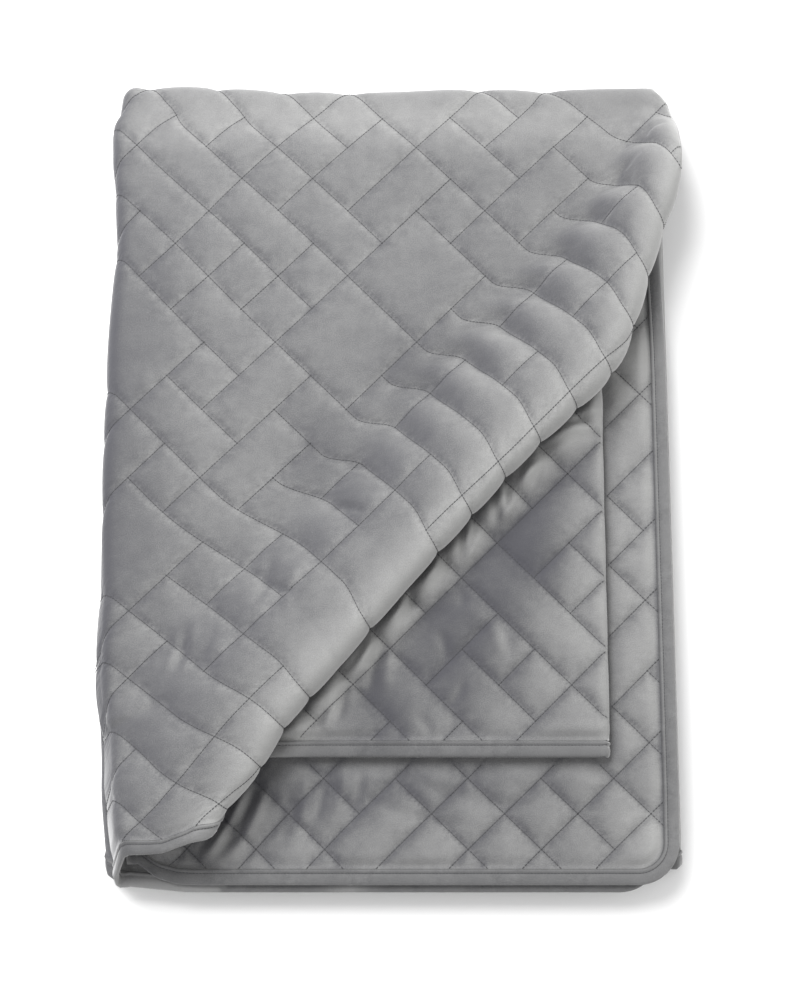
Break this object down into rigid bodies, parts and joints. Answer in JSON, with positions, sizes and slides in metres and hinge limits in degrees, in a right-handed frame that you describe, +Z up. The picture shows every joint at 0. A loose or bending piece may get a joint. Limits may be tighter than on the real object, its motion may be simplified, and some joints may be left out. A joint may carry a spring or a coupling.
{
  "type": "quilted bedspread",
  "caption": "Velvet bedspread with irregular diagonal block quilting and a bound edge, folded into a flat pile with a deep slanting pleat across its top.",
  "frame": {"origin": "middle of the pile's underside", "axes": "+X to the right across the folded pile, +Y from the near open edge to the long fold, +Z up"},
  "size_m": [0.6528, 0.9226, 0.1147],
  "materials": {
    "velvet": "matt velvet, quilted",
    "binding": "matt velvet strip"
  },
  "bodies": {
    "root": {"quilted_panel": "velvet", "edge_binding": "binding"}
  },
  "joints": []
}
